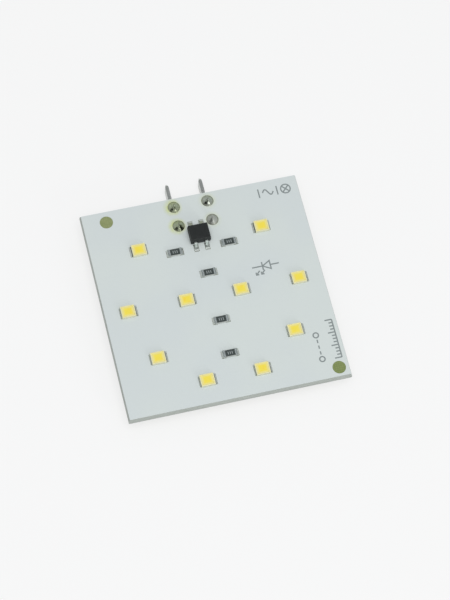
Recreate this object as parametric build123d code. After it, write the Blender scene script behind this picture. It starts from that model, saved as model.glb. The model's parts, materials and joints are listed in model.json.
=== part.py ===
from build123d import *
import os

# Square LED module: one white circuit board with ten LED packages, five chip resistors and a
# bridge rectifier on its top face, fed by two blade terminals that stand on edge under the rear edge.
# Millimetres. Origin at the centre of the board's underside, +Z up, +Y towards the terminals.

# Board. Width and depth are taken over the webs that stand out between the score grooves of its edges.
board_width = 50.5
board_depth = 50.5
board_thickness = 2.4
score_depth = 0.85
score_inset = 0.25
copper_thickness = 0.07
mask_over_copper = 0.03
mask_clearance = 0.06
joint_mask_clearance = 0.05
solder_film = 0.05
solder_toe = 0.02
fillet_hollow = 0.35
track_width = 1.2
track_corner_cut = 3.0
shortest_track_leg = 0.001
edge_track_inset = 2.35

# Round windows in the mask at two opposite corners: the centre's distance from the side and the end
window_diameter = 3.0
rear_window_inset = (5.6, 2.85)
front_window_inset = (2.45, 2.3)

# LED package
led_housing_length = 3.2
led_housing_width = 2.8
led_housing_height = 0.7
led_frame_length = 3.5
led_frame_width = 2.4
led_frame_thickness = 0.2
led_frame_gap = 0.35
led_anode_shift = 0.1
led_cathode_length = 2.05
led_cathode_tab = 0.2
led_window_length = 2.7
led_window_width = 2.35
led_window_corner = 0.4
led_window_draft = 20.0
led_fill_recess = 0.04
led_mark_size = 0.45
led_mark_depth = 0.15
led_cathode_fillet = 0.24
led_anode_fillet = 0.13
chip_length = 0.75
chip_width = 0.4
chip_height = 0.15
chip_spacing = 0.8
chip_margin = 0.2

# Chip resistor
resistor_length = 3.2
resistor_width = 1.6
resistor_height = 0.55
cap_length = 0.5
cap_thickness = 0.04
coat_thickness = 0.03
coat_side_margin = 0.06
resistor_fillet = 0.33
resistor_fillet_share = 0.75
resistor_pad_overlap = 0.1

# Bridge rectifier
rectifier_length = 4.7
rectifier_width = 3.9
rectifier_height = 2.4
rectifier_standoff = 0.1
rectifier_draft = 6.0
rectifier_edge_cut = 0.12
lead_pitch = 2.54
lead_width = 0.62
lead_thickness = 0.2
lead_exit_height = 1.1
lead_embedded = 0.9
lead_shoulder = 0.25
lead_slope = 0.45
lead_foot = 0.7
lead_bend = 0.2
lead_pad_width = 1.0
lead_pad_length = 1.7
lead_fillet = 0.4
lead_fillet_share = 0.8

# Blade terminals and their solder joints
blade_spacing = 7.85
blade_thickness = 0.8
blade_height = 2.8
blade_reach = 4.9
blade_tip_chamfer = 0.5
blade_tip_bevel = 0.25
blade_tip_bevel_length = 0.9
blade_heel_radius = 0.9
leg_inset = 2.4
leg_pitch = 4.8
leg_width = 1.0
leg_above_board = 0.65
leg_hole_clearance = 0.12
joint_diameter = 2.7
joint_height = 1.4
joint_tip = 0.25
joint_hollow = 0.42

# Rows of parts: distance from the rear edge, from the front edge, or from the board's centre
rectifier_inset = 10.45
rear_led_inset = 11.25
rear_resistor_inset = 13.5
front_led_inset = 5.55
front_resistor_inset = 10.65
lower_led_inset = 12.95
lower_resistor_inset = 18.9
middle_led_y = -0.15
centre_resistor_y = 5.35

# Columns of parts: distance from the side edges, or from the middle line
side_column_inset = 5.65
lower_column_inset = 9.65
rear_column_inset = 11.05
inner_column = 6.25

# How far a cut runs past the face it pierces
cut_margin = 1.0

# Places of the parts. Each LED row is a pair mirrored about the middle line, and its third value turns
# the package: at 0 its cathode, the wider metal end, is at the right.
half_width = board_width / 2
half_depth = board_depth / 2
led_rows = {
    "rear": (half_width - rear_column_inset, half_depth - rear_led_inset, 180),
    "side": (half_width - side_column_inset, middle_led_y, 0),
    "centre": (inner_column, middle_led_y, 0),
    "lower": (half_width - lower_column_inset, lower_led_inset - half_depth, 0),
    "front": (inner_column, front_led_inset - half_depth, 0),
}
resistor_places = {
    "rear_left": (-inner_column, half_depth - rear_resistor_inset),
    "rear_right": (inner_column, half_depth - rear_resistor_inset),
    "centre": (0, centre_resistor_y),
    "lower": (0, lower_resistor_inset - half_depth),
    "front": (0, front_resistor_inset - half_depth),
}
rectifier_y = half_depth - rectifier_inset

# Levels and places that follow from the sizes above
face_width = board_width - 2 * score_inset
face_depth = board_depth - 2 * score_inset
copper_top = board_thickness + copper_thickness
mask_top = copper_top + mask_over_copper
seat = copper_top + solder_film
leg_top = board_thickness + leg_above_board
blade_tip = half_depth + blade_reach
leg_rear_y = half_depth - leg_inset
leg_front_y = leg_rear_y - leg_pitch
leg_hole_radius = (blade_thickness**2 + leg_width**2) ** 0.5 / 2 + leg_hole_clearance
lead_toe = rectifier_width / 2 + lead_shoulder + lead_slope + lead_foot
lead_pad_outer = lead_toe + lead_fillet
cap_inner = resistor_length / 2 - cap_length
led_end = led_frame_length / 2
led_housing_end = led_end - led_cathode_tab
led_housing_middle = led_housing_end - led_housing_length / 2
cathode_inner = led_end - led_cathode_length
anode_inner = cathode_inner - led_frame_gap


def block(x_range, y_range, z_range):
    """Rectangular block between two coordinates along each axis."""
    ranges = (x_range, y_range, z_range)
    middle = [(low + high) / 2 for low, high in ranges]
    size = [high - low for low, high in ranges]
    return Pos(*middle) * Box(*size)


def led_places():
    """Name, place and turn of every LED package, each set a little towards its anode."""
    places = {}
    for row, (x, y, turn) in led_rows.items():
        shift = led_anode_shift if turn else -led_anode_shift
        places[row + "_left"] = (shift - x, y, turn)
        places[row + "_right"] = (shift + x, y, turn)
    return places


def leg_places():
    """Name and place of each of the four terminal legs."""
    places = {}
    for side_name, side in (("left", -1), ("right", 1)):
        places[side_name + "_rear"] = (side * blade_spacing / 2, leg_rear_y)
        places[side_name + "_front"] = (side * blade_spacing / 2, leg_front_y)
    return places


# LED package: along X with its cathode at +X, underside of its frame at Z 0


def led_frame():
    """Two plates of the lead frame: the longer cathode plate carries the chips."""
    x_ranges = ((cathode_inner, led_end), (-led_end, anode_inner))
    y_range = (-led_frame_width / 2, led_frame_width / 2)
    z_range = (0, led_frame_thickness)
    return [block(x_range, y_range, z_range) for x_range in x_ranges]


def led_chips():
    """Two chips side by side on the cathode plate."""
    middle = cathode_inner + chip_margin + chip_length / 2
    level = led_frame_thickness + chip_height / 2
    chip = Box(chip_length, chip_width, chip_height)
    return [Pos(middle, side * chip_spacing / 2, level) * chip for side in (-1, 1)]


def led_well():
    """Tapered well with cut corners, from the rim of the housing down to the lead frame."""
    rim = Rectangle(led_window_length, led_window_width)
    rim = chamfer(rim.vertices(), led_window_corner)
    depth = led_housing_height - led_frame_thickness
    top = Pos(led_housing_middle, 0, led_housing_height)
    return top * extrude(rim, amount=-depth, taper=led_window_draft)


def led_housing():
    """Moulded frame round the plates, with the well and a corner mark at the cathode."""
    side = led_housing_width / 2
    x_range = (led_housing_end - led_housing_length, led_housing_end)
    outer = block(x_range, (-side, side), (0, led_housing_height))
    mark = Rot(0, 0, 45) * Box(led_mark_size, led_mark_size, 2 * led_mark_depth)
    corner = Pos(led_housing_end, side, led_housing_height)
    return outer - corner * mark - led_well() - led_frame()


def led_phosphor():
    """Fill of the well, a little below its rim, moulded round the chips."""
    width = led_window_width
    level = led_housing_height - led_fill_recess
    above = block((-led_end, led_end), (-width, width), (level, led_housing_height))
    return led_well() - above - led_chips()


# Chip resistor: along X, underside of its caps at Z 0


def resistor_ceramic():
    """Substrate between the end walls of the caps."""
    length = resistor_length - 2 * cap_thickness
    height = resistor_height - 2 * cap_thickness
    return Pos(0, 0, resistor_height / 2) * Box(length, resistor_width, height)


def resistor_coat():
    """Black coat on the substrate's top, between the caps."""
    level = resistor_height - cap_thickness + coat_thickness / 2
    return Pos(0, 0, level) * Box(2 * cap_inner, resistor_width - 2 * coat_side_margin, coat_thickness)


def resistor_caps():
    """Two metal caps, each wrapped over the top, the end and the underside."""
    x_range = (cap_inner, resistor_length / 2)
    wrap = block(x_range, (-resistor_width / 2, resistor_width / 2), (0, resistor_height))
    cap = wrap - resistor_ceramic()
    return [cap, mirror(cap, about=Plane.YZ)]


# Bridge rectifier: long side along X, leads along Y, underside of its feet at Z 0


def rectifier_leads():
    """Four flat leads that leave the body at mid height, bend down and end in a foot."""
    bend_top = rectifier_width / 2 + lead_shoulder
    foot_level = lead_thickness / 2
    line = FilletPolyline(
        (rectifier_width / 2 - lead_embedded, lead_exit_height),
        (bend_top, lead_exit_height),
        (bend_top + lead_slope, foot_level),
        (lead_toe, foot_level),
        radius=lead_bend,
    )
    profile = Plane.YZ * trace(line, line_width=lead_thickness)
    rear = extrude(profile, amount=lead_width / 2, both=True)
    front = mirror(rear, about=Plane.XZ)
    return [Pos(side * lead_pitch / 2, 0, 0) * lead for lead in (rear, front) for side in (-1, 1)]


def rectifier_body():
    """Moulded body with drafted sides above and below the level of its leads."""
    outline = Rectangle(rectifier_length, rectifier_width)
    upper = extrude(outline, amount=rectifier_height - lead_exit_height, taper=rectifier_draft)
    lower = extrude(outline, amount=rectifier_standoff - lead_exit_height, taper=rectifier_draft)
    body = Pos(0, 0, lead_exit_height) * (upper + lower)
    top_edges = body.faces().sort_by(Axis.Z)[-1].edges()
    return chamfer(top_edges, rectifier_edge_cut) - rectifier_leads()


# Blade terminals


def blade_side_view():
    """Side view of a terminal along Y and Z: blade, part under the board and two legs."""
    heel = leg_front_y - leg_width / 2
    low = -blade_height
    rear_leg = (leg_rear_y + leg_width / 2, leg_rear_y - leg_width / 2)
    front_leg = (leg_front_y + leg_width / 2, heel)
    points = [
        (heel, low),
        (blade_tip - blade_tip_chamfer, low),
        (blade_tip, low + blade_tip_chamfer),
        (blade_tip, -blade_tip_chamfer),
        (blade_tip - blade_tip_chamfer, 0),
        (rear_leg[0], 0),
        (rear_leg[0], leg_top),
        (rear_leg[1], leg_top),
        (rear_leg[1], 0),
        (front_leg[0], 0),
        (front_leg[0], leg_top),
        (front_leg[1], leg_top),
    ]
    view = make_face(Polyline(*points, close=True))
    return fillet(view.vertices().sort_by_distance((heel, low))[0], blade_heel_radius)


def blade_plan():
    """Top view of a terminal: flat sides and a bevelled tip."""
    start = leg_front_y - leg_width
    bevel = blade_tip - blade_tip_bevel_length
    half = blade_thickness / 2
    tip_half = half - blade_tip_bevel
    points = [(-half, start), (-half, bevel), (-tip_half, blade_tip)]
    points += [(tip_half, blade_tip), (half, bevel), (half, start)]
    return make_face(Polyline(*points, close=True))


def blade_terminal(side):
    """Stamped tab: its side view cut by its plan."""
    blank = extrude(Plane.YZ * blade_side_view(), amount=blade_thickness, both=True)
    plan = extrude(Pos(0, 0, -blade_height) * blade_plan(), amount=blade_height + leg_top)
    return Pos(side * blade_spacing / 2, 0, 0) * (blank & plan)


def solder_joint(x, y):
    """Hollow-sided cone of solder on its pad, with a rounded tip, closed over the end of the leg."""
    rim = joint_diameter / 2
    tip = (joint_tip, joint_height)
    middle = (joint_tip + joint_hollow * (rim - joint_tip), joint_hollow * joint_height)
    outline = [Polyline(tip, (0, joint_height), (0, 0), (rim, 0)), ThreePointArc((rim, 0), middle, tip)]
    profile = make_face(outline)
    profile = fillet(profile.vertices().sort_by_distance(tip)[0], joint_tip)
    cone = revolve(Plane.XZ * profile, axis=Axis.Z)
    half_leg = (blade_thickness / 2, leg_width / 2)
    leg = block((-half_leg[0], half_leg[0]), (-half_leg[1], half_leg[1]), (0, leg_top - copper_top))
    return Pos(x, y, copper_top) * (cone - leg)


# Solder under and at the end of each surface-mounted terminal, from the copper upwards


def solder_wedge(inner, end, outer, rise, width):
    """Film from the pad's inner edge to its outer one, and a hollow fillet up the terminal's end."""
    top = solder_film + rise
    middle = (end + fillet_hollow * (outer - end), solder_film + fillet_hollow * rise)
    points = [(end, top), (end, solder_film), (inner, solder_film)]
    points += [(inner, 0), (outer, 0), (outer, solder_toe)]
    outline = [Polyline(*points), ThreePointArc((outer, solder_toe), middle, (end, top))]
    profile = Plane.XZ * make_face(outline)
    return extrude(profile, amount=width / 2, both=True)


def led_solder():
    """Solder of one package: cathode and anode."""
    rise = led_frame_thickness
    cathode = solder_wedge(cathode_inner, led_end, led_end + led_cathode_fillet, rise, led_frame_width)
    anode = solder_wedge(-anode_inner, led_end, led_end + led_anode_fillet, rise, led_frame_width)
    return [cathode, mirror(anode, about=Plane.YZ)]


def resistor_solder():
    """Solder of one resistor, the same at both caps."""
    end = resistor_length / 2
    rise = resistor_fillet_share * resistor_height
    inner = cap_inner - resistor_pad_overlap
    wedge = solder_wedge(inner, end, end + resistor_fillet, rise, resistor_width)
    return [wedge, mirror(wedge, about=Plane.YZ)]


def rectifier_solder():
    """Solder under the four feet of the rectifier."""
    rise = lead_fillet_share * lead_thickness
    inner = lead_pad_outer - lead_pad_length
    wedge = solder_wedge(inner, lead_toe, lead_pad_outer, rise, lead_pad_width)
    turned = [Rot(0, 0, angle) * wedge for angle in (90, -90)]
    return [Pos(side * lead_pitch / 2, 0, 0) * part for part in turned for side in (-1, 1)]


def surface_solder():
    """All solder of the surface-mounted parts, on top of the copper."""
    pieces = []
    for x, y, turn in led_places().values():
        pieces += [Pos(x, y, copper_top) * Rot(0, 0, turn) * part for part in led_solder()]
    for x, y in resistor_places.values():
        pieces += [Pos(x, y, copper_top) * part for part in resistor_solder()]
    pieces += [Pos(0, rectifier_y, copper_top) * part for part in rectifier_solder()]
    return pieces


# Copper pads and the tracks that join them, drawn in plan


def rectangular_pad(place, x_range, width):
    """Outline and middle of a pad that lies along a part's own X axis."""
    x, y, turn = place
    low, high = x_range
    where = Pos(x, y) * Rot(0, 0, turn) * Pos((low + high) / 2, 0)
    middle = where.position
    return where * Rectangle(high - low, width), (middle.X, middle.Y)


def all_pads():
    """Outline and middle of every pad, by name."""
    pads = {}
    for name, place in led_places().items():
        cathode = (cathode_inner, led_end + led_cathode_fillet)
        anode = (-led_end - led_anode_fillet, anode_inner)
        pads["led_" + name + "_cathode"] = rectangular_pad(place, cathode, led_frame_width)
        pads["led_" + name + "_anode"] = rectangular_pad(place, anode, led_frame_width)
    for name, (x, y) in resistor_places.items():
        reach = (cap_inner - resistor_pad_overlap, resistor_length / 2 + resistor_fillet)
        for end_name, turn in (("left", 180), ("right", 0)):
            pads["resistor_" + name + "_" + end_name] = rectangular_pad((x, y, turn), reach, resistor_width)
    for row, turn in (("rear", 90), ("front", -90)):
        for side_name, side in (("left", -1), ("right", 1)):
            place = (side * lead_pitch / 2, rectifier_y, turn)
            reach = (lead_pad_outer - lead_pad_length, lead_pad_outer)
            pads["lead_" + row + "_" + side_name] = rectangular_pad(place, reach, lead_pad_width)
    for name, (x, y) in leg_places().items():
        pads["leg_" + name] = (Pos(x, y) * Circle(joint_diameter / 2), (x, y))
    return pads


def all_routes(pads):
    """Corner points of every track: both supply lines, then the series chain from plus to minus."""
    point = {name: middle for name, (outline, middle) in pads.items()}

    def direct(start, end):
        return [point[start], point[end]]

    def along_x_first(start, end):
        return [point[start], (point[end][0], point[start][1]), point[end]]

    def along_y_first(start, end):
        return [point[start], (point[start][0], point[end][1]), point[end]]

    def stepped(start, end):
        middle = (point[start][0] + point[end][0]) / 2
        return [point[start], (middle, point[start][1]), (middle, point[end][1]), point[end]]

    front_line = edge_track_inset - half_depth
    round_start = point["led_side_right_cathode"]
    round_end = point["led_lower_left_anode"]
    round_front = [round_start, (round_start[0], front_line), (round_end[0], front_line), round_end]

    spine_start = point["resistor_lower_left"]
    spine_end = point["resistor_rear_right_left"]
    spine_low = (spine_start[1] + point["led_centre_left_cathode"][1]) / 2
    spine_high = (point["resistor_centre_left"][1] + spine_end[1]) / 2
    spine = [spine_start, (spine_start[0], spine_low), (0, spine_low)]
    spine += [(0, spine_high), (spine_end[0], spine_high), spine_end]

    return [
        direct("leg_left_rear", "leg_left_front"),
        direct("leg_left_front", "lead_rear_left"),
        direct("leg_right_rear", "leg_right_front"),
        direct("leg_right_front", "lead_rear_right"),
        direct("lead_front_left", "resistor_rear_left_right"),
        stepped("resistor_rear_left_left", "led_rear_left_anode"),
        along_x_first("led_rear_left_cathode", "led_side_left_anode"),
        direct("led_side_left_cathode", "led_centre_left_anode"),
        along_y_first("led_centre_left_cathode", "resistor_centre_left"),
        along_y_first("led_centre_right_anode", "resistor_centre_right"),
        direct("led_centre_right_cathode", "led_side_right_anode"),
        round_front,
        along_y_first("led_lower_left_cathode", "led_front_left_anode"),
        along_y_first("led_front_left_cathode", "resistor_front_left"),
        along_y_first("led_front_right_anode", "resistor_front_right"),
        along_y_first("led_lower_right_anode", "led_front_right_cathode"),
        along_y_first("led_lower_right_cathode", "resistor_lower_right"),
        spine,
        along_x_first("resistor_rear_right_right", "led_rear_right_anode"),
        along_x_first("led_rear_right_cathode", "lead_front_right"),
    ]


def cut_corners(points):
    """The same route with each corner cut across, by no more than half of its shorter leg."""
    path = [Vector(*points[0])]
    for before, corner, after in zip(points, points[1:], points[2:]):
        corner = Vector(*corner)
        legs = [Vector(*before) - corner, Vector(*after) - corner]
        cut = min([track_corner_cut] + [leg.length / 2 for leg in legs])
        path += [corner + leg.normalized() * cut for leg in legs]
    return path + [Vector(*points[-1])]


def track(points):
    """Strip of copper along a route, mitred at its corners."""
    path = cut_corners(points)
    ends = [end for start, end in zip(path, path[1:]) if (end - start).length > shortest_track_leg]
    return trace(Polyline(path[0], *ends), line_width=track_width)


def leg_holes(low, high):
    """Round bars where the terminal legs pass, between two levels."""
    height = high - low
    middle = (low + high) / 2
    return [Pos(x, y, middle) * Cylinder(leg_hole_radius, height) for x, y in leg_places().values()]


def board_section(width):
    """Section across the board: at both edges the web stands out between two score grooves."""
    face = width / 2 - score_inset
    web = width / 2
    high = board_thickness - score_depth
    right = [(face, 0), (web, score_depth), (web, high), (face, board_thickness)]
    left = [(-x, z) for x, z in reversed(right)]
    return make_face(Polyline(*right, *left, close=True))


def board_laminate():
    """Glass-fibre sheet, bare on its underside, scored along its edges, with a hole for each leg."""
    along_y = extrude(Plane.XZ * board_section(board_width), amount=board_depth, both=True)
    along_x = extrude(Plane.YZ * board_section(board_depth), amount=board_width, both=True)
    return (along_y & along_x) - leg_holes(-cut_margin, board_thickness + cut_margin)


def board_copper():
    """Pads and tracks on the laminate: one piece of copper for each connected group."""
    pads = all_pads()
    plan = Sketch() + [outline for outline, middle in pads.values()]
    for route in all_routes(pads):
        plan += track(route)
    copper = extrude(Pos(0, 0, board_thickness) * plan, amount=copper_thickness)
    return copper - leg_holes(board_thickness - cut_margin, copper_top + cut_margin)


def mask_windows():
    """Plan of every opening in the mask: pads with their clearance, and the two round windows."""
    openings = []
    for name, (outline, middle) in all_pads().items():
        if name.startswith("leg_"):
            radius = joint_diameter / 2 + joint_mask_clearance
            openings.append(Pos(*middle) * Circle(radius))
        else:
            openings.append(offset(outline, amount=mask_clearance, kind=Kind.INTERSECTION))
    rear = Pos(rear_window_inset[0] - half_width, half_depth - rear_window_inset[1])
    front = Pos(half_width - front_window_inset[0], front_window_inset[1] - half_depth)
    return openings + [rear * Circle(window_diameter / 2), front * Circle(window_diameter / 2)]


def solder_mask(copper):
    """White coat over laminate and tracks, open at the pads and the round windows."""
    sheet = extrude(Rectangle(face_width, face_depth), amount=mask_top - board_thickness)
    openings = extrude(Sketch() + mask_windows(), amount=mask_top)
    return Pos(0, 0, board_thickness) * (sheet - openings) - copper


def placed(parts, x, y, turn):
    """Parts of a package set down on the board at the seat level."""
    return [Pos(x, y, seat) * Rot(0, 0, turn) * part for part in parts]


def all_nodes():
    """Every named piece of the module."""
    copper = board_copper()
    nodes = {
        "board_laminate": [board_laminate()],
        "board_copper": [copper],
        "solder_mask": [solder_mask(copper)],
        "led_chips": [],
    }
    for name, place in led_places().items():
        nodes["led_" + name + "_frame"] = placed(led_frame(), *place)
        nodes["led_" + name + "_housing"] = placed([led_housing()], *place)
        nodes["led_" + name + "_phosphor"] = placed([led_phosphor()], *place)
        nodes["led_chips"] += placed(led_chips(), *place)
    for name, (x, y) in resistor_places.items():
        nodes["resistor_" + name + "_ceramic"] = placed([resistor_ceramic()], x, y, 0)
        nodes["resistor_" + name + "_coat"] = placed([resistor_coat()], x, y, 0)
        nodes["resistor_" + name + "_caps"] = placed(resistor_caps(), x, y, 0)
    nodes["rectifier_body"] = placed([rectifier_body()], 0, rectifier_y, 0)
    nodes["rectifier_leads"] = placed(rectifier_leads(), 0, rectifier_y, 0)
    nodes["blade_terminal_left"] = [blade_terminal(-1)]
    nodes["blade_terminal_right"] = [blade_terminal(1)]
    for name, (x, y) in leg_places().items():
        nodes["solder_joint_" + name] = [solder_joint(x, y)]
    nodes["surface_solder"] = surface_solder()
    return nodes


os.makedirs("parts", exist_ok=True)
for node, parts in all_nodes().items():
    solids = [solid for part in parts for solid in part.solids()]
    export_step(Compound(children=solids) if len(solids) > 1 else solids[0], "parts/" + node + ".step")
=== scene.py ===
import json
import math

import bmesh
import bpy
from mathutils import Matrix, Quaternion, Vector

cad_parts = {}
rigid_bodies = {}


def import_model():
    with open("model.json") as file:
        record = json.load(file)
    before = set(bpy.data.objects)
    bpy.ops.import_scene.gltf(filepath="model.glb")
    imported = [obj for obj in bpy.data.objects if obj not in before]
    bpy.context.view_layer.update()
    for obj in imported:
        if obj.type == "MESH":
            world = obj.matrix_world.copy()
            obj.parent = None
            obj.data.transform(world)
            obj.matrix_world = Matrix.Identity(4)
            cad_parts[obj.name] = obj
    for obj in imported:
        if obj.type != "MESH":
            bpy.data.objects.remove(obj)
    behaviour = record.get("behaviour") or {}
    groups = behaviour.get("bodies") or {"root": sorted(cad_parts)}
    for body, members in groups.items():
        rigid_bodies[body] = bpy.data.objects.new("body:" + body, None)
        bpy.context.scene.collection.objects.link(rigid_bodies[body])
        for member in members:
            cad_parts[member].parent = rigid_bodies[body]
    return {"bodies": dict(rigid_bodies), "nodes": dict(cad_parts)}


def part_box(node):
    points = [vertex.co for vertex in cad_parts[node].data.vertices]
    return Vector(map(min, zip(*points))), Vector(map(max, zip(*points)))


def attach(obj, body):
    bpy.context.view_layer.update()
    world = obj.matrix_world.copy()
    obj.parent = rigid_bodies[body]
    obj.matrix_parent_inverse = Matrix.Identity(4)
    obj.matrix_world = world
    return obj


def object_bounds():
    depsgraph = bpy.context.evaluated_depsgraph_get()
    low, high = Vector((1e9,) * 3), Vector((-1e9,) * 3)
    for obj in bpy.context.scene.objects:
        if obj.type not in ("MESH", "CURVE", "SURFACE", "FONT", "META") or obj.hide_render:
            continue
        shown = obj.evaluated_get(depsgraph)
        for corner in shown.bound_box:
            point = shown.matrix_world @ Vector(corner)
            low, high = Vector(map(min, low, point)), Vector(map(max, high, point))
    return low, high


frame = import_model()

for leftover in set(bpy.data.objects) - set(frame["nodes"].values()) - set(frame["bodies"].values()):
    bpy.data.objects.remove(leftover)

cad_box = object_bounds()

# Sizes are in millimetres of the part's own frame and are turned into metres by MM
MM = 0.001
UP = Vector((0, 0, 1))

# Camera: where it stands, the point of the board's top face in the middle of its view, its roll in degrees,
# its lens and sensor, and the nearest distance that it sees
CAMERA_PLACE = (-68.53, -182.0, 444.98)
CAMERA_TARGET = (1.98, -1.864, 2.5)
CAMERA_ROLL = 8.24
CAMERA_LENS = 130.0
CAMERA_SENSOR = 36.0
CAMERA_NEAREST = 10.0

SIDES = ("left", "right")
LED_ROWS = ("rear", "side", "centre", "lower", "front")
RESISTORS = ("rear_left", "rear_right", "centre", "lower", "front")
LEGS = ("left_rear", "left_front", "right_rear", "right_front")


def led_nodes(kind, rows=LED_ROWS):
    """Names of one kind of piece in the LEDs of some rows."""
    return ["led_" + row + "_" + side + "_" + kind for row in rows for side in SIDES]


def resistor_nodes(kind):
    return ["resistor_" + name + "_" + kind for name in RESISTORS]


def screen(red, green, blue):
    """Linear colour that shows as these levels from 0 to 255."""
    shares = [level / 255 for level in (red, green, blue)]
    return [share / 12.92 if share <= 0.04045 else ((share + 0.055) / 1.055) ** 2.4 for share in shares] + [1]


def box_mm(node):
    """Lowest and highest corner of a CAD node in millimetres."""
    low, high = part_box(node)
    return low / MM, high / MM


def middle_mm(node):
    low, high = box_mm(node)
    return (low + high) / 2


def placed(name, data):
    """New object in the scene."""
    piece = bpy.data.objects.new(name, data)
    bpy.context.scene.collection.objects.link(piece)
    return piece


BOARD_TOP = box_mm("solder_mask")[1].z

# Materials


# Sockets of a Mix node for its factor, its two colours and its result
MIX_FACTOR = 0
MIX_FIRST = 6
MIX_SECOND = 7
MIX_RESULT = 2


class Finish:
    """Principled material whose patterns are worked out from the place on the part, in millimetres."""

    def __init__(self, name, roughness=0.5, metallic=0.0, specular=0.5, coat=0.0):
        self.material = bpy.data.materials.new(name)
        self.material.use_nodes = True
        self.tree = self.material.node_tree
        self.shader = self.tree.nodes["Principled BSDF"]
        self.shader.inputs["Roughness"].default_value = roughness
        self.shader.inputs["Metallic"].default_value = metallic
        self.shader.inputs["Specular IOR Level"].default_value = specular
        self.shader.inputs["Coat Weight"].default_value = coat
        self.shader.inputs["Coat Roughness"].default_value = 0.2
        coordinates = self.tree.nodes.new("ShaderNodeTexCoord")
        self.generated = coordinates.outputs["Generated"]
        self.place = self.vector("SCALE", coordinates.outputs["Object"], Scale=1 / MM)

    def feed(self, socket, value):
        """Sets a socket to a number or colour, or links another node's output to it."""
        if isinstance(value, bpy.types.NodeSocket):
            self.tree.links.new(value, socket)
        else:
            socket.default_value = value

    def vector(self, operation, *values, **named):
        node = self.tree.nodes.new("ShaderNodeVectorMath")
        node.operation = operation
        for socket, value in zip(node.inputs, values):
            self.feed(socket, value)
        for name, value in named.items():
            self.feed(node.inputs[name], value)
        return node.outputs["Value" if operation == "DISTANCE" else "Vector"]

    def math(self, operation, *values):
        node = self.tree.nodes.new("ShaderNodeMath")
        node.operation = operation
        for socket, value in zip(node.inputs, values):
            self.feed(socket, value)
        return node.outputs["Value"]

    def axis(self, name, source=None):
        """One coordinate of the place, or of another vector."""
        node = self.tree.nodes.new("ShaderNodeSeparateXYZ")
        self.feed(node.inputs["Vector"], source or self.place)
        return node.outputs[name]

    def reach(self):
        """How far a place is from the middle of its node in X or Y, from 0 to 0.5 at the node's sides."""
        spread = self.vector("ABSOLUTE", self.vector("SUBTRACT", self.generated, (0.5, 0.5, 0.5)))
        return self.math("MAXIMUM", self.axis("X", spread), self.axis("Y", spread))

    def noise(self, size, detail=2.0, stretch=(1, 1, 1)):
        """Cloudy pattern from 0 to 1 whose clouds are about this many millimetres wide."""
        node = self.tree.nodes.new("ShaderNodeTexNoise")
        self.feed(node.inputs["Vector"], self.vector("DIVIDE", self.place, [size * part for part in stretch]))
        node.inputs["Scale"].default_value = 1.0
        node.inputs["Detail"].default_value = detail
        return node.outputs["Fac"]

    def ridges(self, axis, pitch):
        """Even ridges from 0 to 1 across one axis."""
        turn = self.math("MULTIPLY", self.axis(axis), 2 * math.pi / pitch)
        return self.math("MULTIPLY_ADD", self.math("SINE", turn), 0.5, 0.5)

    def fade(self, value, start, end):
        """0 where a value is at its start and 1 where it is at its end, with a soft change between them."""
        node = self.tree.nodes.new("ShaderNodeMapRange")
        node.interpolation_type = "SMOOTHSTEP"
        self.feed(node.inputs["Value"], value)
        node.inputs["From Min"].default_value = min(start, end)
        node.inputs["From Max"].default_value = max(start, end)
        node.inputs["To Min"].default_value = 0.0 if start < end else 1.0
        node.inputs["To Max"].default_value = 1.0 if start < end else 0.0
        return node.outputs["Result"]

    def between(self, factor, low, high):
        """Number that goes from low to high as the factor goes from 0 to 1."""
        return self.math("MULTIPLY_ADD", factor, high - low, low)

    def blend(self, factor, first, second):
        """Colour that goes from the first to the second as the factor goes from 0 to 1."""
        node = self.tree.nodes.new("ShaderNodeMix")
        node.data_type = "RGBA"
        self.feed(node.inputs[MIX_FACTOR], factor)
        self.feed(node.inputs[MIX_FIRST], first)
        self.feed(node.inputs[MIX_SECOND], second)
        return node.outputs[MIX_RESULT]

    def color(self, value):
        self.feed(self.shader.inputs["Base Color"], value)

    def gloss(self, factor, low, high):
        """Roughness that varies with a pattern."""
        self.feed(self.shader.inputs["Roughness"], self.between(factor, low, high))

    def relief(self, *layers):
        """Bumps, each from a pattern and its depth in millimetres."""
        normal = None
        for pattern, depth in layers:
            node = self.tree.nodes.new("ShaderNodeBump")
            node.inputs["Distance"].default_value = depth * MM
            self.feed(node.inputs["Height"], pattern)
            if normal:
                self.feed(node.inputs["Normal"], normal)
            normal = node.outputs["Normal"]
        self.feed(self.shader.inputs["Normal"], normal)

    def cover(self, *nodes):
        """Gives the finish to CAD nodes."""
        for node in nodes:
            frame["nodes"][node].material_slots[0].material = self.material


def solder_mask_finish():
    """White lacquer: faint clouds, orange peel, and flux stains round the terminals' joints."""
    finish = Finish("solder_mask", specular=0.4)
    clouds = finish.fade(finish.noise(16, 1), 0.35, 0.65)
    white = finish.blend(clouds, screen(209, 216, 216), screen(211, 218, 216))
    flat = finish.vector("MULTIPLY", finish.place, (1, 1, 0))
    stain = 0.0
    stain_full = 1.1
    stain_gone = 2.5
    for leg in LEGS:
        middle = middle_mm("solder_joint_" + leg)
        shift, strength = (0.3, 0.8) if leg.startswith("left") else (0.0, 0.25)
        distance = finish.vector("DISTANCE", flat, (middle.x - shift, middle.y, 0))
        ring = finish.math("MULTIPLY", finish.fade(distance, stain_gone, stain_full), strength)
        stain = finish.math("MAXIMUM", stain, ring)
    patches = finish.between(finish.fade(finish.noise(0.9), 0.35, 0.6), 0.6, 1.0)
    finish.color(finish.blend(finish.math("MULTIPLY", stain, patches), white, screen(202, 211, 138)))
    finish.gloss(finish.noise(3.0, 3), 0.36, 0.5)
    finish.relief((finish.noise(0.35, 3), 0.004), (finish.noise(2.5, 2), 0.01))
    finish.cover("solder_mask")


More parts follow.
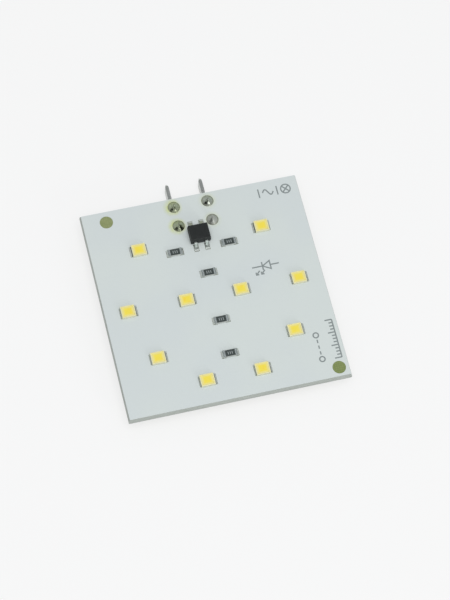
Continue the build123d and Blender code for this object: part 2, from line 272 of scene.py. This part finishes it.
def laminate_finish():
    """Woven glass-fibre sheet, greener at the right of its top face, pale and layered at its cut edges."""
    finish = Finish("laminate", specular=0.45)
    geometry = finish.tree.nodes.new("ShaderNodeNewGeometry")
    facing = finish.axis("Z", geometry.outputs["True Normal"])
    thread_pitch = 0.5
    weave = finish.math("MULTIPLY", finish.ridges("X", thread_pitch), finish.ridges("Y", thread_pitch))
    clouds = finish.noise(1.2, 3)
    pale = finish.blend(clouds, screen(118, 130, 80), screen(156, 162, 118))
    dark = finish.blend(clouds, screen(102, 120, 62), screen(140, 151, 98))
    greener = finish.math("MULTIPLY", finish.fade(finish.axis("X"), -15, 15), finish.fade(facing, -0.5, 0.5))
    face = finish.blend(greener, pale, dark)
    face = finish.blend(finish.math("MULTIPLY", weave, 0.3), face, screen(162, 168, 122))
    layers = finish.noise(0.5, 3, (6, 6, 0.35))
    fibres = finish.noise(0.12, 2, (1, 1, 3))
    cut = finish.blend(layers, screen(142, 148, 143), screen(182, 188, 182))
    cut = finish.blend(finish.math("MULTIPLY", fibres, 0.25), cut, screen(198, 201, 194))
    finish.color(finish.blend(finish.fade(finish.math("ABSOLUTE", facing), 0.4, 0.6), cut, face))
    finish.gloss(clouds, 0.42, 0.62)
    finish.relief((weave, 0.006), (fibres, 0.008), (layers, 0.01))
    finish.cover("board_laminate")


def copper_finish():
    """Tinned copper pads, of which only rims show beside the parts."""
    finish = Finish("copper", metallic=1.0)
    clouds = finish.noise(0.5, 3)
    finish.color(finish.blend(clouds, screen(170, 150, 120), screen(200, 196, 180)))
    finish.gloss(clouds, 0.28, 0.5)
    finish.relief((clouds, 0.01))
    finish.cover("board_copper")


def led_housing_finish():
    """Pale moulding, with a painted warm glow near the window that stands in for light from the fill."""
    finish = Finish("led_housing", specular=0.45)
    clouds = finish.noise(0.4, 2)
    rim = finish.blend(clouds, screen(220, 219, 188), screen(230, 228, 200))
    # The yellow near the window is painted light from the fill
    finish.color(finish.blend(finish.fade(finish.reach(), 0.49, 0.41), rim, screen(235, 223, 146)))
    finish.gloss(clouds, 0.38, 0.52)
    finish.relief((finish.noise(0.08, 2), 0.003))
    finish.cover(*led_nodes("housing"))


def led_phosphor_finish():
    """Yellow silicone fill with warmer clouds, paler towards the rim."""
    finish = Finish("led_phosphor", coat=0.25)
    clouds = finish.noise(0.7, 2)
    grains = finish.noise(0.05, 2)
    fill = finish.blend(clouds, screen(248, 224, 76), screen(246, 228, 96))
    fill = finish.blend(finish.fade(finish.noise(1.3, 1), 0.55, 0.8), fill, screen(250, 208, 72))
    fill = finish.blend(finish.math("MULTIPLY", grains, 0.25), fill, screen(240, 218, 44))
    finish.color(finish.blend(finish.fade(finish.reach(), 0.22, 0.48), fill, screen(237, 226, 148)))
    finish.gloss(clouds, 0.25, 0.4)
    finish.relief((grains, 0.002), (clouds, 0.02))
    finish.cover(*led_nodes("phosphor"))


def led_chip_finish():
    """Sapphire chips, sealed in the fill."""
    finish = Finish("led_chip", roughness=0.2, specular=0.6)
    finish.color(finish.blend(finish.noise(0.2), screen(150, 175, 190), screen(190, 205, 210)))
    finish.cover("led_chips")


def led_frame_finishes():
    """Silver-plated lead frames, brighter at the anode, which is the right end in the rear row only."""
    for name, rows, anode in (("led_frame_rear", LED_ROWS[:1], 1.0), ("led_frame", LED_ROWS[1:], 0.0)):
        finish = Finish(name, metallic=1.0)
        clouds = finish.noise(0.3, 3)
        plates = finish.blend(clouds, screen(120, 124, 118), screen(164, 168, 160))
        bright = finish.blend(clouds, screen(174, 178, 162), screen(214, 218, 202))
        away = finish.math("ABSOLUTE", finish.math("SUBTRACT", finish.axis("X", finish.generated), anode))
        finish.color(finish.blend(finish.fade(away, 0.3, 0.1), plates, bright))
        finish.gloss(clouds, 0.25, 0.45)
        finish.relief((clouds, 0.008))
        finish.cover(*led_nodes("frame", rows))


def resistor_ceramic_finish():
    """White ceramic."""
    finish = Finish("resistor_ceramic")
    finish.color(finish.blend(finish.noise(0.3), screen(178, 182, 178), screen(200, 204, 200)))
    finish.relief((finish.noise(0.05), 0.003))
    finish.cover(*resistor_nodes("ceramic"))


def resistor_coat_finish():
    """Black glaze."""
    finish = Finish("resistor_coat", coat=0.35)
    clouds = finish.noise(0.4, 3)
    finish.color(finish.blend(clouds, screen(53, 61, 60), screen(69, 77, 75)))
    finish.gloss(clouds, 0.3, 0.45)
    finish.relief((finish.noise(0.3, 2), 0.008))
    finish.cover(*resistor_nodes("coat"))


def resistor_cap_finish():
    """Tinned caps, with painted shade along their outer edges."""
    finish = Finish("resistor_cap", metallic=1.0)
    clouds = finish.noise(0.25, 3)
    metal = finish.blend(clouds, screen(206, 216, 216), screen(236, 244, 243))
    # The darker colour at the outer edges is painted shade
    finish.color(finish.blend(finish.fade(finish.reach(), 0.45, 0.49), metal, screen(166, 175, 174)))
    finish.gloss(clouds, 0.3, 0.5)
    finish.relief((clouds, 0.01))
    finish.cover(*resistor_nodes("caps"))


def rectifier_body_finish():
    """Black moulding compound with a fine grain."""
    finish = Finish("rectifier_moulding", specular=0.4)
    clouds = finish.noise(1.1, 3)
    grain = finish.noise(0.06, 2)
    black = finish.blend(clouds, screen(24, 27, 27), screen(34, 37, 37))
    finish.color(finish.blend(finish.math("MULTIPLY", grain, 0.3), black, screen(50, 53, 52)))
    finish.gloss(grain, 0.5, 0.68)
    finish.relief((grain, 0.006), (clouds, 0.01))
    finish.cover("rectifier_body")


def rectifier_lead_finish():
    """Tinned leads, darker and greener at the rear, where the dark body's reflection is painted on."""
    finish = Finish("tinned_lead", metallic=1.0)
    clouds = finish.noise(0.3, 3, (1, 3, 1))
    tin = finish.blend(clouds, screen(198, 205, 200), screen(230, 237, 233))
    rear_dark_reflection = finish.blend(clouds, screen(190, 196, 176), screen(220, 226, 206))
    middle = middle_mm("rectifier_body").y
    # Painted dark reflection of the body on the rear of the leads
    finish.color(finish.blend(finish.fade(finish.axis("Y"), middle, middle + 1), tin, rear_dark_reflection))
    finish.gloss(clouds, 0.42, 0.62)
    finish.relief((clouds, 0.01))
    finish.cover("rectifier_leads")


def metal_finish(name, dark, light, roughness, cloud, depth, stretch=(1, 1, 1)):
    """Metal with clouds of tarnish and a fine relief, its roughness between two values."""
    finish = Finish(name, metallic=1.0)
    clouds = finish.noise(cloud, 3, stretch)
    finish.color(finish.blend(clouds, screen(*dark), screen(*light)))
    finish.gloss(finish.noise(cloud * 0.6, 2, stretch), *roughness)
    finish.relief((clouds, depth))
    return finish


def blade_finish():
    """Tinned brass with rolling streaks along the tabs."""
    tin = ((184, 187, 183), (224, 227, 224))
    streaks = (1, 8, 1)
    finish = metal_finish("tinned_brass", *tin, (0.34, 0.54), cloud=0.3, depth=0.006, stretch=streaks)
    finish.cover("blade_terminal_left", "blade_terminal_right")


def joint_finish(name, dark, light, roughness):
    """Solder with soft dents, and a film of flux near the board, its roughness between two values."""
    finish = Finish(name, metallic=1.0)
    clouds = finish.noise(0.6, 2)
    metal = finish.blend(clouds, screen(*dark), screen(*light))
    film_height = 0.35
    flux = finish.math("MULTIPLY", finish.fade(finish.axis("Z"), BOARD_TOP + film_height, BOARD_TOP), 0.3)
    finish.color(finish.blend(flux, metal, screen(132, 136, 100)))
    finish.gloss(finish.noise(0.35, 3), *roughness)
    finish.relief((clouds, 0.035), (finish.noise(0.18, 2), 0.008))
    return finish


def solder_finishes():
    """Joints with flux left on them, a bright one, a dull one, and the fillets at the small parts."""
    fluxed = joint_finish("solder_fluxed", (152, 159, 131), (190, 196, 172), (0.18, 0.3))
    fluxed.cover("solder_joint_left_rear", "solder_joint_left_front")
    bright = joint_finish("solder_bright", (156, 161, 150), (188, 193, 182), (0.18, 0.3))
    bright.cover("solder_joint_right_rear")
    dull = joint_finish("solder_dull", (172, 174, 168), (206, 208, 200), (0.4, 0.6))
    dull.cover("solder_joint_right_front")
    film = metal_finish("solder_film", (206, 211, 206), (236, 240, 236), (0.42, 0.62), cloud=0.3, depth=0.012)
    film.cover("surface_solder")


def ink_finish(name, dark, light):
    """Print, thin and slightly worn."""
    finish = Finish(name, roughness=0.6, specular=0.3)
    clouds = finish.noise(0.25, 3)
    finish.color(finish.blend(clouds, screen(*dark), screen(*light)))
    finish.relief((clouds, 0.004))
    return finish.material


def dress_frame():
    """A finish for every CAD node."""
    solder_mask_finish()
    laminate_finish()
    copper_finish()
    led_housing_finish()
    led_phosphor_finish()
    led_chip_finish()
    led_frame_finishes()
    resistor_ceramic_finish()
    resistor_coat_finish()
    resistor_cap_finish()
    rectifier_body_finish()
    rectifier_lead_finish()
    blade_finish()
    solder_finishes()


# Print on the board and on the resistors: plain signs made of strokes


PRINT_WIDTH = 0.3
RESISTOR_PRINT_WIDTH = 0.14
PRINT_HEIGHT = 0.012
PRINT_SUNK = 0.004
PRINT_STEP = 0.0008

# Least cosine of half a corner's turn, which keeps the mitre of a sharp corner short
MITRE_LIMIT = 0.4


def stroke(mesh, points, closed, width, low, high):
    """Flat ribbon along a line of points, with mitred corners, from one height to another."""
    points = [Vector(point) for point in points]
    count = len(points)
    sides = []
    for index, point in enumerate(points):
        ways = []
        if closed or index > 0:
            ways.append((point - points[index - 1]).normalized())
        if closed or index < count - 1:
            ways.append((points[(index + 1) % count] - point).normalized())
        across = sum(ways, Vector((0, 0))).normalized().orthogonal()
        reach = width / 2 / max(across.dot(ways[0].orthogonal()), MITRE_LIMIT)
        corners = []
        for side in (-1, 1):
            edge = point + across * reach * side
            for height in (low, high):
                corners.append(mesh.verts.new((edge.x * MM, edge.y * MM, height * MM)))
        sides.append(corners)
    pairs = zip(sides, sides[1:] + sides[:1] if closed else sides[1:])
    for (low_a, high_a, low_b, high_b), (next_low_a, next_high_a, next_low_b, next_high_b) in pairs:
        mesh.faces.new((high_a, high_b, next_high_b, next_high_a))
        mesh.faces.new((low_a, next_low_a, next_low_b, low_b))
        mesh.faces.new((low_a, high_a, next_high_a, next_low_a))
        mesh.faces.new((low_b, next_low_b, next_high_b, high_b))
    if not closed:
        for low_a, high_a, low_b, high_b in (sides[0], sides[-1]):
            mesh.faces.new((low_a, low_b, high_b, high_a))


def ring(x, radius, steps=24):
    """Points of a ring round a place on the X axis."""
    angles = [math.radians(360 * step / steps) for step in range(steps)]
    return [(x + radius * math.cos(angle), radius * math.sin(angle)) for angle in angles]


def wave(start, end, height, steps=24):
    """Points of one turn of a sine wave along X."""
    shares = [step / steps for step in range(steps + 1)]
    return [(start + (end - start) * share, height * math.sin(2 * math.pi * share)) for share in shares]


def lamp_sign():
    """Lamp symbol, a ring with a cross in it, beside a sine wave between two bars."""
    radius = 1.1
    middle = -2.7
    cross = radius * math.sin(math.radians(45))
    strokes = [
        (ring(middle, radius), True),
        ([(middle - cross, -cross), (middle + cross, cross)], False),
        ([(middle - cross, cross), (middle + cross, -cross)], False),
    ]
    first_bar = -0.7
    last_bar = 3.6
    strokes.append(([(first_bar, -radius), (first_bar, radius)], False))
    strokes.append((wave(0.2, 2.7, 0.7), False))
    strokes.append(([(last_bar, -radius), (last_bar, radius)], False))
    return strokes


def diode_sign():
    """Diode symbol: a line through a triangle and its bar, with two arrows of light."""
    end = 3.1
    back = -1.1
    tip = 0.7
    level = -0.5
    half = 1.0
    strokes = [
        ([(-end, level), (back, level)], False),
        ([(back, level + half), (back, level - half), (tip, level)], True),
        ([(tip, level + half), (tip, level - half)], False),
        ([(tip, level), (end, level)], False),
    ]
    head = 0.6
    for shift in (0.0, 1.2):
        point = (1.3 + shift, 1.4)
        strokes.append(([(0.4 + shift, 0.5), point], False))
        strokes.append(([(point[0] - head, point[1]), point, (point[0], point[1] - head)], False))
    return strokes


def scale_sign():
    """Row of tick marks like those of a rule."""
    length = 9.2
    ticks = 13
    foot = -0.8
    strokes = [([(-length / 2, foot), (length / 2, foot)], False)]
    for tick in range(ticks):
        x = length * (tick / (ticks - 1) - 0.5)
        height = 0.8 if tick % 4 == 0 else 0.1
        strokes.append(([(x, foot), (x, height)], False))
    return strokes


def ring_sign():
    """Row of short bars between two rings."""
    strokes = [(ring(x, 0.6, steps=18), True) for x in (-2.9, 2.9)]
    half_bar = 0.4
    for x in (-1.4, 0.0, 1.4):
        strokes.append(([(x - half_bar, 0), (x + half_bar, 0)], False))
    return strokes


def resistor_sign():
    """Three upright bars."""
    half_height = 0.32
    return [([(x, -half_height), (x, half_height)], False) for x in (-0.45, 0.0, 0.45)]


def printed(name, strokes, place, level, turn, width, material):
    """One printed sign, turned and set down on its surface, each stroke a hair higher than the last."""
    mesh = bmesh.new()
    angle = math.radians(turn)
    for index, (points, closed) in enumerate(strokes):
        turned = [
            (
                place[0] + x * math.cos(angle) - y * math.sin(angle),
                place[1] + x * math.sin(angle) + y * math.cos(angle),
            )
            for x, y in points
        ]
        stroke(mesh, turned, closed, width, level - PRINT_SUNK, level + PRINT_HEIGHT + index * PRINT_STEP)
    bmesh.ops.recalc_face_normals(mesh, faces=mesh.faces)
    data = bpy.data.meshes.new(name)
    mesh.to_mesh(data)
    mesh.free()
    data.materials.append(material)
    piece = placed(name, data)
    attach(piece, "root")


def print_signs():
    """Signs in the places of the board's print, and bars on the resistors."""
    grey = ink_finish("ink_grey", (120, 128, 128), (152, 159, 159))
    pale = ink_finish("ink_pale", (148, 155, 155), (176, 182, 182))
    # Each sign's strokes, its middle on the board and its turn in degrees
    signs = {
        "print_lamp": (lamp_sign(), (19.4, 22.1), 180),
        "print_diode": (diode_sign(), (12.9, 3.9), 180),
        "print_scale": (scale_sign(), (23.25, -16.1), 90),
        "print_rings": (ring_sign(), (19.65, -17.4), 90),
    }
    for name, (strokes, place, turn) in signs.items():
        printed(name, strokes, place, BOARD_TOP, turn, PRINT_WIDTH, grey)
    bars = resistor_sign()
    width = RESISTOR_PRINT_WIDTH
    for name, coat in zip(RESISTORS, resistor_nodes("coat")):
        top = box_mm(coat)[1].z
        printed("print_resistor_" + name, bars, middle_mm(coat), top, 0, width, pale)


# Edges of the mouldings and of the resistors' caps, slightly rounded


WELD_DISTANCE = 0.0005
SHARP_ANGLE = 30
ROUND_SEGMENTS = 2


def soften(nodes, radius):
    """Rounds the sharp edges of CAD nodes, leaving their own vertices as they are."""
    for node in nodes:
        piece = frame["nodes"][node]
        weld = piece.modifiers.new("weld", "WELD")
        weld.merge_threshold = WELD_DISTANCE * MM
        bevel = piece.modifiers.new("bevel", "BEVEL")
        bevel.width = radius * MM
        bevel.segments = ROUND_SEGMENTS
        bevel.limit_method = "ANGLE"
        bevel.angle_limit = math.radians(SHARP_ANGLE)
        bevel.harden_normals = True


def soften_edges():
    soften(["rectifier_body"], 0.07)
    soften(led_nodes("housing"), 0.05)
    soften(resistor_nodes("caps"), 0.03)


# Studio


# How pale the surroundings are for what they light, for what mirrors them and for the camera
SKY_LIGHT = 0.5
SKY_SHINE = 0.68
SKY_SEEN = 0.92
SKY_COLOR = (0.96, 0.985, 1.0, 1.0)
FLOOR_GLOW = 0.78
FLOOR_HALF = 3000.0

SQUARE = ((-1, -1), (1, -1), (1, 1), (-1, 1))


def four_cornered(name, corners):
    """Flat piece with one face, its corners in metres."""
    data = bpy.data.meshes.new(name)
    data.from_pydata(corners, [], [(0, 1, 2, 3)])
    return placed(name, data)


def pale_floor():
    """Wide pale floor under the lowest point of the part, backlit to the eye, so that its shadow is faint."""
    half = FLOOR_HALF * MM
    floor = four_cornered("floor", [(x * half, y * half, cad_box[0].z) for x, y in SQUARE])
    finish = Finish("floor", roughness=0.8, specular=0.1)
    path = finish.tree.nodes.new("ShaderNodeLightPath")
    seen = finish.math("MAXIMUM", path.outputs["Is Camera Ray"], path.outputs["Is Glossy Ray"])
    seen = finish.math("MAXIMUM", seen, path.outputs["Is Transmission Ray"])
    white = finish.blend(finish.noise(60, 2), screen(243, 243, 243), screen(246, 246, 246))
    finish.color(finish.blend(seen, white, screen(125, 125, 125)))
    finish.shader.inputs["Emission Color"].default_value = screen(247, 247, 247)
    finish.feed(finish.shader.inputs["Emission Strength"], finish.math("MULTIPLY", seen, FLOOR_GLOW))
    floor.data.materials.append(finish.material)


def direction(azimuth, elevation):
    """Unit vector from the part. Azimuth 0 is over the front edge and 90 over the right edge."""
    around, above = math.radians(azimuth), math.radians(elevation)
    return Vector((math.sin(around) * math.cos(above), -math.cos(around) * math.cos(above), math.sin(above)))


def soft_box(name, azimuth, elevation, distance, size, power):
    """Rectangular lamp that faces the part."""
    lamp = bpy.data.lights.new(name, "AREA")
    lamp.shape = "RECTANGLE"
    lamp.size, lamp.size_y = (side * MM for side in size)
    lamp.energy = power
    way = direction(azimuth, elevation)
    box = placed(name, lamp)
    box.location = way * distance * MM
    box.rotation_mode = "QUATERNION"
    box.rotation_quaternion = (-way).to_track_quat("-Z", "Y")
    return box


def grey_card(name, azimuth, elevation, distance, size, level):
    """Grey card that faces the part and shows only in what shines, which gives the metal its darker side."""
    way = direction(azimuth, elevation)
    across = UP.cross(way).normalized() * size[0] / 2
    above = way.cross(across).normalized() * size[1] / 2
    card = four_cornered(name, [(way * distance + across * x + above * y) * MM for x, y in SQUARE])
    card.visible_camera = False
    card.visible_shadow = False
    card.visible_diffuse = False
    finish = Finish(name, roughness=0.9, specular=0.0)
    finish.color(screen(level, level, level))
    card.data.materials.append(finish.material)


def pale_sky():
    """Surroundings whose strength depends on whether they light, are mirrored or are seen."""
    world = bpy.data.worlds.new("studio")
    bpy.context.scene.world = world
    world.use_nodes = True
    tree = world.node_tree
    path = tree.nodes.new("ShaderNodeLightPath")
    shining = tree.nodes.new("ShaderNodeMapRange")
    shining.inputs["To Min"].default_value = SKY_LIGHT
    shining.inputs["To Max"].default_value = SKY_SHINE
    seen = tree.nodes.new("ShaderNodeMapRange")
    seen.inputs["To Max"].default_value = SKY_SEEN
    tree.links.new(path.outputs["Is Glossy Ray"], shining.inputs["Value"])
    tree.links.new(shining.outputs["Result"], seen.inputs["To Min"])
    tree.links.new(path.outputs["Is Camera Ray"], seen.inputs["Value"])
    sky = tree.nodes["Background"]
    sky.inputs["Color"].default_value = SKY_COLOR
    tree.links.new(seen.outputs["Result"], sky.inputs["Strength"])


def studio_light():
    """Pale surroundings, a wide soft box overhead, a low one at the front right, and two grey cards."""
    pale_sky()
    key = soft_box("key", azimuth=-10, elevation=76, distance=700, size=(500, 500), power=2.6)
    key.visible_glossy = False
    soft_box("fill", azimuth=24, elevation=20, distance=600, size=(120, 200), power=0.5)
    grey_card("side_card", azimuth=-55, elevation=21, distance=400, size=(430, 230), level=12)
    grey_card("top_card", azimuth=159, elevation=66, distance=500, size=(420, 420), level=172)


def photo_camera():
    """Camera at the photo's viewing angle."""
    lens = bpy.data.cameras.new("camera")
    lens.lens = CAMERA_LENS
    lens.sensor_width = CAMERA_SENSOR
    lens.clip_start = CAMERA_NEAREST * MM
    camera = placed("camera", lens)
    place = Vector(CAMERA_PLACE) * MM
    camera.location = place
    camera.rotation_mode = "QUATERNION"
    aim = (Vector(CAMERA_TARGET) * MM - place).to_track_quat("-Z", "Y")
    camera.rotation_quaternion = aim @ Quaternion((0, 0, 1), math.radians(CAMERA_ROLL))
    bpy.context.scene.camera = camera


dress_frame()
print_signs()
soften_edges()
pale_floor()
studio_light()
photo_camera()
bpy.context.scene.view_settings.view_transform = "Standard"
